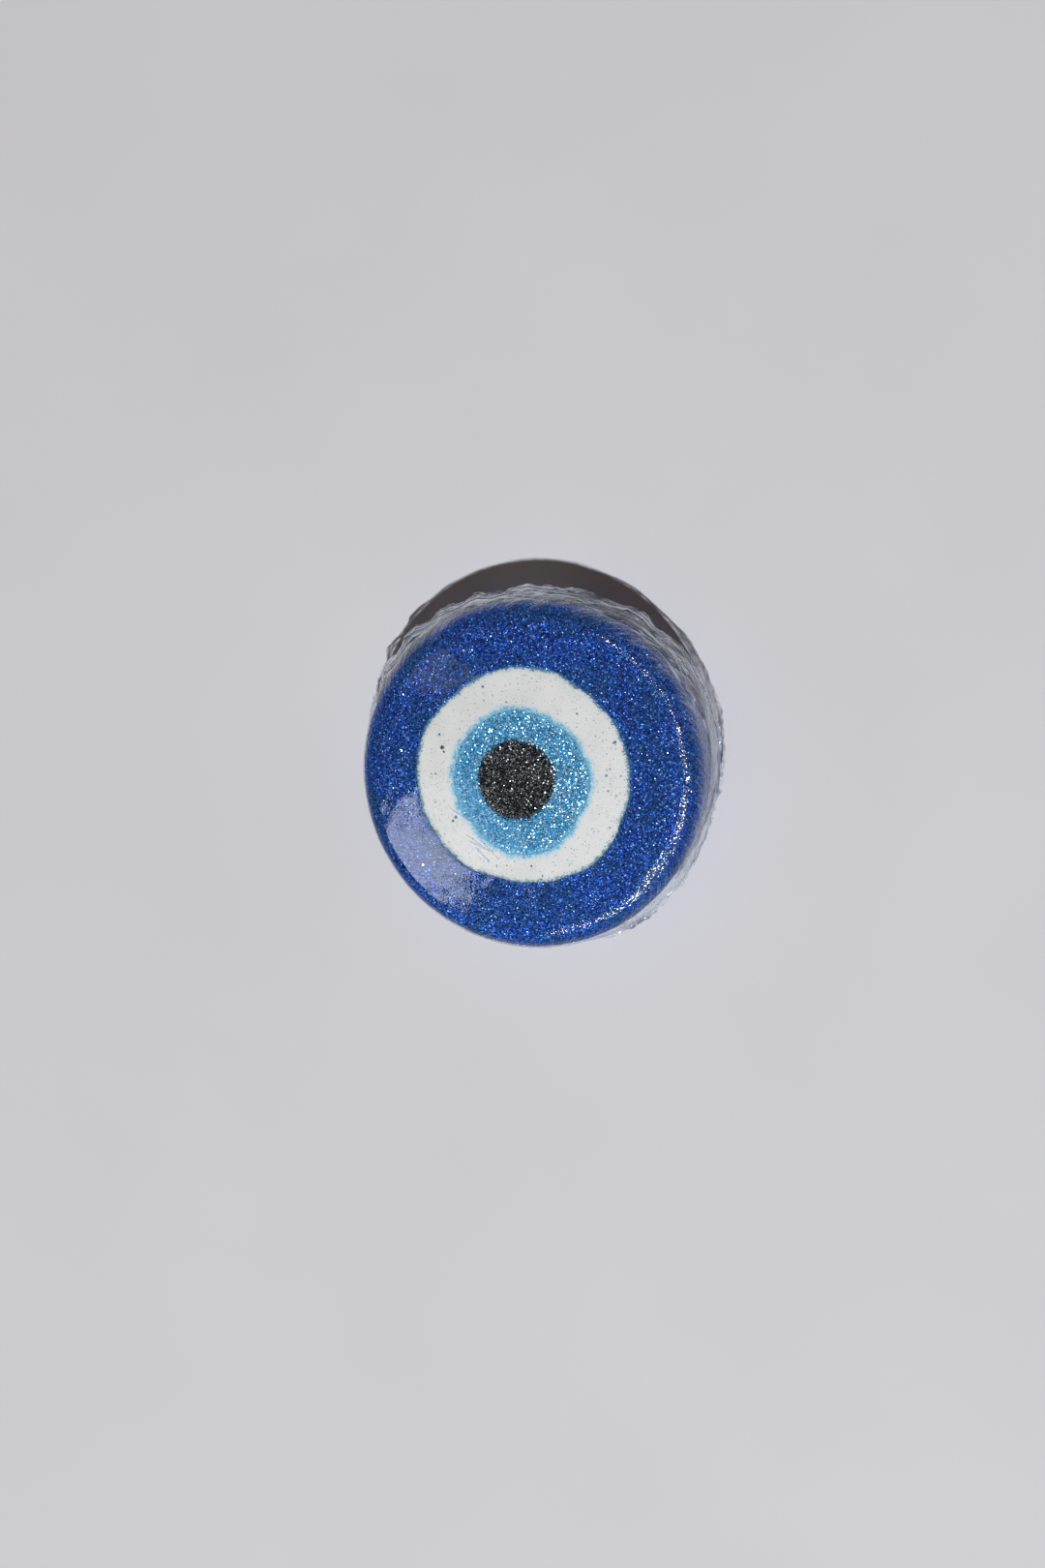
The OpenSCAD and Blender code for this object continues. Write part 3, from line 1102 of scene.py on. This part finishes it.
def back_wrap():
    """The back film: under the puck, round its edge and out to the weld."""
    angles = turn_angles(BACK_AROUND)
    turn = angles / TAU
    points, normals, at = back_path()
    end = at[-1]
    loose = slack(angles)
    rise = []
    looks = {name: [] for name in ("crinkle", "milk", "haze")}
    for s in at:
        folded = step(*BACK_FOLDS, s)
        strands = crease(ring_noise(turn, s / 1.4 + 3, 30, 41)) ** 3
        pleats = crease(ring_noise(turn, s / 12 + 5, 96, 42)) ** 2
        rise.append(folded * (0.22 * strands * loose + 0.22 * pleats) * MM)
        milk = folded * (0.4 + 0.5 * pleats) * loose
        looks["crinkle"].append(0.12 + 0.8 * folded * loose)
        looks["milk"].append(milk)
        looks["haze"].append(0.4 * milk)
    pulled = step(BACK_OUT, end, at)
    outer = film_rings(points, normals, angles, rise, pulled, step(BACK_DOWN, end, at))
    for ring in outer:
        ring[:, 2] = np.maximum(ring[:, 2], BACK_Z - BACK_GAP)
    return film_shell("back_wrap", outer, normals, angles, at, looks)


def weld_bead():
    """The melted edge: a bead with a thin, ragged lip outside it."""
    angles = turn_angles(WELD_AROUND)
    radius = (0.26 + 0.1 * edge_noise(angles, 120, 51)) * MM
    lip = 0.3 + 0.3 * edge_noise(angles, 240, 52) + 0.2 * edge_noise(angles, 60, 53)
    lip = np.maximum(lip, 0.05) * MM
    tilt = 0.8 * edge_noise(angles, 40, 54)
    centre_r = weld_radius(angles)
    centre_z = weld_height(angles)
    rings = []
    for a in turn_angles(WELD_SIDES):
        outward = max(0.0, math.cos(a))
        dr = (radius + lip * outward ** 3) * math.cos(a)
        dz = radius * math.sin(a) * (1 - 0.5 * outward) + tilt * np.maximum(dr - radius, 0)
        rings.append(turned(centre_r + dr, centre_z + dz, angles))
    verts = np.concatenate(rings)
    obj = new_object("weld_bead", verts, grid_faces(WELD_SIDES, WELD_AROUND, closed=True))
    for value_name, value in (("crinkle", 0.5), ("milk", 0.8), ("haze", 0.6), ("beads", 0.8)):
        point_values(obj, value_name, np.full(len(verts), value))
    for vector_name in ("flow", "sweep"):
        point_values(obj, vector_name, verts / MM)
    return obj


# ---------------- build the object
# Colours of the loose flakes: [share of the flakes up to this colour, colour]
BLUE_FOIL = [
    (0.0, (0.01, 0.05, 0.42)),
    (0.4, (0.03, 0.15, 0.85)),
    (0.7, (0.09, 0.34, 1.0)),
    (0.84, (0.2, 0.18, 0.95)),
    (0.93, (0.28, 0.65, 1.0)),
    (1.0, (0.85, 0.92, 1.0)),
]
ICE_FOIL = [
    (0.0, (0.25, 0.6, 0.85)),
    (0.45, (0.5, 0.8, 0.95)),
    (1.0, (0.95, 0.98, 1.0)),
]
SILVER_FOIL = [
    (0.0, (0.18, 0.19, 0.21)),
    (0.6, (0.48, 0.5, 0.52)),
    (1.0, (0.9, 0.91, 0.9)),
]
STRAY_FOIL = [
    (0.0, (0.05, 0.06, 0.07)),
    (0.35, (0.12, 0.22, 0.38)),
    (0.65, (0.14, 0.34, 0.33)),
    (0.95, (0.4, 0.44, 0.48)),
    (1.0, (0.7, 0.26, 0.06)),
]


def build():
    """Every piece of the object, with the CAD node that it stands for and its material's slot."""
    dress(blue_pour(), blue_wax(), ["blue_body"])
    white = poured_layer("white_pour", "white", "iris", 30, WHITE_ROUGH)
    dress(white, white_wax(), ["white_layer"])
    iris = poured_layer("iris_pour", "iris", "pupil", 22, GLITTER_ROUGH)
    dress(iris, iris_wax(), ["iris_layer"])
    pupil = poured_layer("pupil_pour", "pupil", None, 26, GLITTER_ROUGH)
    dress(pupil, pupil_wax(), ["pupil_layer"])
    blue_foil = flake_foil("blue_foil", BLUE_FOIL, 0.9, 0.42, 0.975)
    ice_foil = flake_foil("ice_foil", ICE_FOIL, 0.9, 0.34, 0.6)
    silver_foil = flake_foil("silver_foil", SILVER_FOIL, 0.9, 0.36, 0.9)
    stray_foil = flake_foil("stray_foil", STRAY_FOIL, 0.2, 0.5, 1.1)
    dress(blue_face_flakes(), blue_foil, ["blue_glitter"])
    dress(blue_side_flakes(), blue_foil, [])
    dress(iris_flakes(), ice_foil, ["iris_glitter"])
    dress(pupil_flakes(), silver_foil, ["pupil_glitter"])
    dress(stray_flakes(), stray_foil, ["stray_glitter"])
    film = clear_film("clear_film", 0.85)
    dress(front_wrap(), film, ["front_film"])
    dress(back_wrap(), film, ["back_film"])
    dress(weld_bead(), clear_film("weld_film", 0.5), ["film_seam"])


# ---------------- table, lights and camera
def direction(azimuth, tilt):
    """A unit vector leaning tilt degrees off straight up, towards an angle from +X."""
    a = math.radians(azimuth)
    t = math.radians(tilt)
    return Vector((math.sin(t) * math.cos(a), math.sin(t) * math.sin(a), math.cos(t)))


# The table is a disc, a hair under the object
TABLE_R = 1.1
TABLE_GAP = 0.02 * MM
NEAR_WHITE = (0.93, 0.97, 1.0)


def add_table():
    angles = turn_angles(96)
    verts = turned(TABLE_R, CAD_BOX[0][2] - TABLE_GAP, angles)
    table = new_object("table", verts, [list(range(len(angles)))], smooth_shade=False)
    table.data.materials.append(table_top())


def add_light(name, way, distance, width, height, power, color):
    """A rectangular light looking at the origin from a direction; sizes in metres, power in watts."""
    data = bpy.data.lights.new(name, "AREA")
    data.shape = "RECTANGLE"
    data.size = width
    data.size_y = height
    data.energy = power
    data.color = color
    light = bpy.data.objects.new(name, data)
    bpy.context.scene.collection.objects.link(light)
    light.location = way * distance
    light.rotation_euler = way.to_track_quat("Z", "Y").to_euler()
    return light


def add_lights():
    """A small hard key, two softboxes seen only in reflections, and low lights for the film's folds."""
    add_light("key", direction(292, 20.5), 2.5, 0.05, 0.05, 51, (0.965, 0.985, 1.02))
    softboxes = [
        add_light("softbox", direction(213, 27.2), 1.0, 0.16, 0.3, 0.52, NEAR_WHITE),
        add_light("upper_softbox", direction(174, 21.5), 1.0, 0.05, 0.12, 0.011, NEAR_WHITE),
    ]
    for light in softboxes:
        light.visible_diffuse = False
    for name, azimuth, power in (("rim_light_right", 48, 9.5), ("rim_light_left", 150, 18)):
        light = add_light(name, direction(azimuth, 89.3), 2.0, 1.3, 0.05, power, (1.0, 0.97, 0.95))
        light.visible_glossy = False
        light.visible_camera = False


def add_world():
    """A dim warm fill, and a pale grey studio behind the table."""
    world = bpy.data.worlds.new("studio")
    world.use_nodes = True
    tree = world.node_tree
    fill = tree.nodes["Background"]
    fill.inputs["Color"].default_value = (1.0, 0.6, 0.22, 1)
    fill.inputs["Strength"].default_value = 0.064
    studio = tree.nodes.new("ShaderNodeBackground")
    studio.inputs["Color"].default_value = (0.56, 0.56, 0.59, 1)
    rays = tree.nodes.new("ShaderNodeLightPath")
    either = tree.nodes.new("ShaderNodeMixShader")
    tree.links.new(rays.outputs["Is Camera Ray"], either.inputs[0])
    tree.links.new(fill.outputs[0], either.inputs[1])
    tree.links.new(studio.outputs[0], either.inputs[2])
    tree.links.new(either.outputs[0], tree.nodes["World Output"].inputs["Surface"])
    bpy.context.scene.world = world


# The camera: its azimuth and its tilt off straight up, its distance and its lens
CAMERA_WAY = (29.3, 15)
CAMERA_DISTANCE = 0.55
CAMERA_LENS = 61.6


def add_camera():
    """Almost straight above, leaning towards +X and +Y, with +Y up in the picture."""
    back = direction(*CAMERA_WAY)
    right = Vector((0, 1, 0)).cross(back).normalized()
    up = back.cross(right)
    seam_middle = Vector((0, 0, SEAM_Z))
    target = seam_middle - 4.6 * MM * right - 3.4 * MM * up
    data = bpy.data.cameras.new("camera")
    data.lens = CAMERA_LENS
    data.clip_start = 0.01
    camera = bpy.data.objects.new("camera", data)
    bpy.context.scene.collection.objects.link(camera)
    turn = Matrix((right, up, back)).transposed().to_4x4()
    camera.matrix_world = Matrix.Translation(target + back * CAMERA_DISTANCE) @ turn
    bpy.context.scene.camera = camera


build()
add_table()
add_lights()
add_world()
add_camera()
bpy.context.scene.view_settings.view_transform = "Standard"
